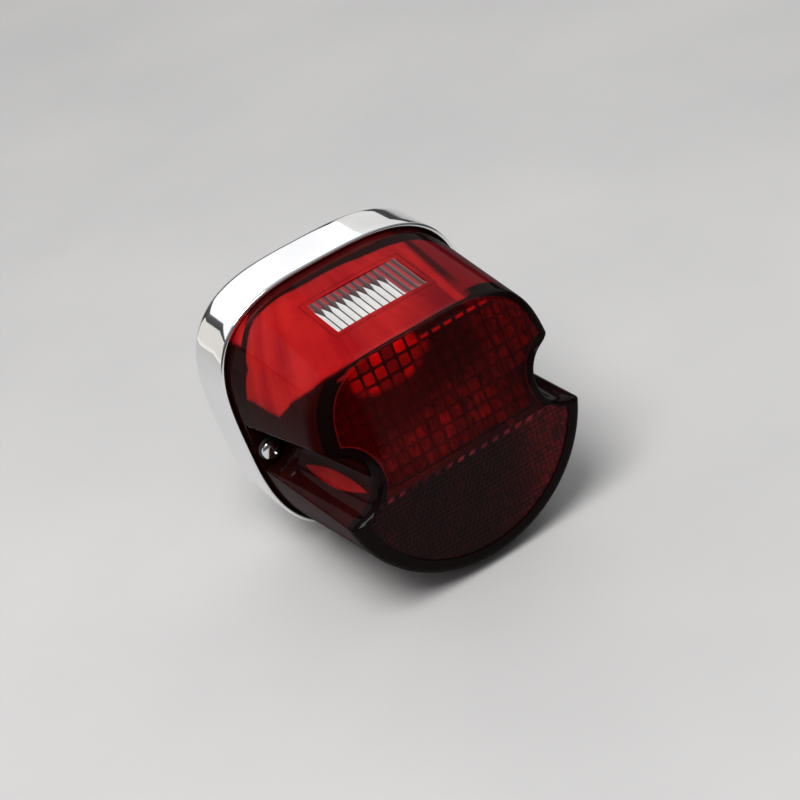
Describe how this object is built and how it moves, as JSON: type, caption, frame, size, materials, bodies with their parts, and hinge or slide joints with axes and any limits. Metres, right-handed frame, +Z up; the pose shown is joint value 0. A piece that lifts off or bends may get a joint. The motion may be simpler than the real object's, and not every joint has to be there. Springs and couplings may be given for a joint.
{
  "type": "tail light",
  "caption": "Fender-mounted motorcycle tail light: chrome tub base, red lens with fluted plate window, prism grid and round-bottomed reflex panel, bayonet bulb inside.",
  "frame": {"origin": "middle of the rubber pad's back face, which lies against the fender", "axes": "-Y out of the lens, away from the fender; +Z up; +X to the right seen from behind the motorcycle"},
  "size_m": [0.1156, 0.121, 0.116],
  "materials": {
    "chrome": "bright chrome plate",
    "rubber": "black moulded rubber",
    "zinc_steel": "zinc plated steel",
    "brass": "plain brass",
    "phenolic": "brown moulded phenolic",
    "bright_dish": "bright silver paint",
    "bulb_glass": "clear blown glass",
    "tungsten": "grey tungsten wire",
    "red_lens": "deep red transparent acrylic",
    "clear_window": "clear moulded acrylic with flutes",
    "reflex_red": "dark red moulded reflex acrylic",
    "backing_grey": "grey moulded plastic",
    "solder": "dull solder"
  },
  "bodies": {
    "base": {"base_shell": "chrome", "fender_gasket": "rubber", "mount_studs": "zinc_steel", "screw_inserts": "brass", "harness_grommet": "rubber", "terminal_block": "phenolic", "terminal_blades": "brass", "ground_tab": "brass", "ground_screw": "zinc_steel", "lens_gasket": "rubber", "reflector_dish": "bright_dish", "dish_screws": "zinc_steel", "socket_shell": "zinc_steel", "contact_spring": "zinc_steel"},
    "lens": {"lens_shell": "red_lens", "plate_window": "clear_window", "reflex_panel": "reflex_red", "reflex_backing": "backing_grey"},
    "left_washer": {"left_screw_washer": "rubber"},
    "left_screw": {"left_lens_screw": "chrome"},
    "right_washer": {"right_screw_washer": "rubber"},
    "right_screw": {"right_lens_screw": "chrome"},
    "carrier": {"contact_carrier": "phenolic", "contact_buttons": "brass"},
    "bulb": {"bulb_cap": "brass", "bulb_pins": "brass", "bulb_tips": "solder", "bulb_glass": "bulb_glass", "bulb_stem": "bulb_glass", "filament_posts": "zinc_steel", "brake_filament": "tungsten", "running_filament": "tungsten"}
  },
  "joints": [
    {"name": "lens_off", "type": "slide", "parent": "base", "child": "lens", "axis": [0, -1, 0], "range_m": [0, 0.09]},
    {"name": "left_screw_turn", "type": "hinge", "parent": "lens", "child": "left_washer", "pos_m": [-0.049, -0.031, -0.004], "axis": [0, -1, 0], "range_deg": [0, 2791]},
    {"name": "left_screw_travel", "type": "slide", "parent": "left_washer", "child": "left_screw", "axis": [0, -1, 0], "range_m": [0, 0.00775]},
    {"name": "right_screw_turn", "type": "hinge", "parent": "lens", "child": "right_washer", "pos_m": [0.049, -0.031, -0.004], "axis": [0, -1, 0], "range_deg": [0, 2791]},
    {"name": "right_screw_travel", "type": "slide", "parent": "right_washer", "child": "right_screw", "axis": [0, -1, 0], "range_m": [0, 0.00775]},
    {"name": "bulb_push", "type": "slide", "parent": "base", "child": "carrier", "axis": [0, 1, 0], "range_m": [0, 0.0025], "stiffness_N_per_m": 2000, "springref_m": -0.003, "deforming": ["contact_spring"]},
    {"name": "bulb_twist", "type": "hinge", "parent": "carrier", "child": "bulb", "pos_m": [0, -0.03, 0.022], "axis": [0, -1, 0], "range_deg": [0, 18]}
  ],
  "couplings": [
    {"joint": "left_screw_turn", "follows": "left_screw_travel", "rad_per_m": 6283.2},
    {"joint": "right_screw_turn", "follows": "right_screw_travel", "rad_per_m": 6283.2}
  ]
}
